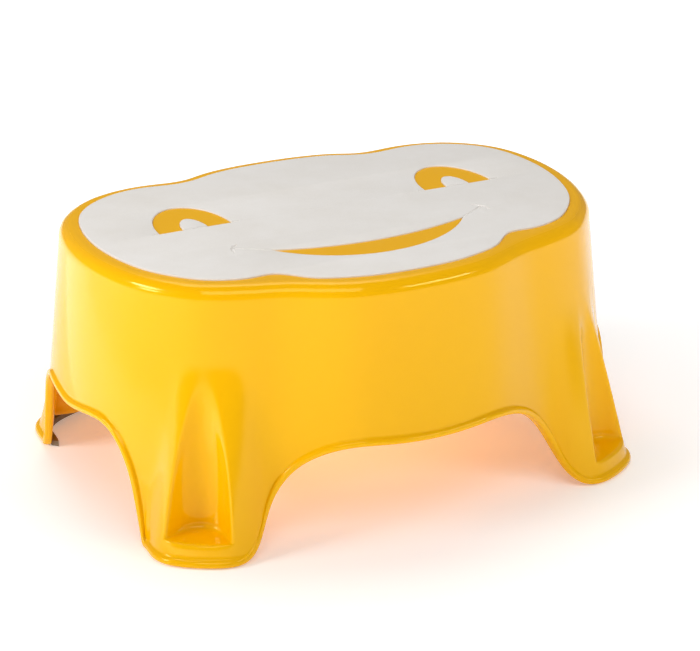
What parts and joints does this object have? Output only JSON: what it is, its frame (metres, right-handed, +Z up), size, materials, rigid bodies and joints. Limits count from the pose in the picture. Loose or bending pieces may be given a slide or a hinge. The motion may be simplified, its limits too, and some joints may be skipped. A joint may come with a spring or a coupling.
{
  "type": "step stool",
  "caption": "Low child's step stool: one moulded plastic shell on four splayed legs, with a soft smiling tread pad and rubber foot pads.",
  "frame": {"origin": "middle of the footprint's bounding box, on the floor", "axes": "+X along the length to the right of someone facing the smile's side, +Y from the front (the smile's side) to the back, +Z up"},
  "size_m": [0.3754, 0.2722, 0.165],
  "materials": {
    "shell_plastic": "glossy moulded polypropylene, warm yellow",
    "tread_rubber": "matt off-white thermoplastic elastomer, finely grained",
    "foot_rubber": "matt grey-brown rubber"
  },
  "bodies": {
    "root": {"shell": "shell_plastic", "tread_pad": "tread_rubber", "foot_pad_front_left": "foot_rubber", "foot_pad_front_right": "foot_rubber", "foot_pad_back_left": "foot_rubber", "foot_pad_back_right": "foot_rubber"}
  },
  "joints": []
}
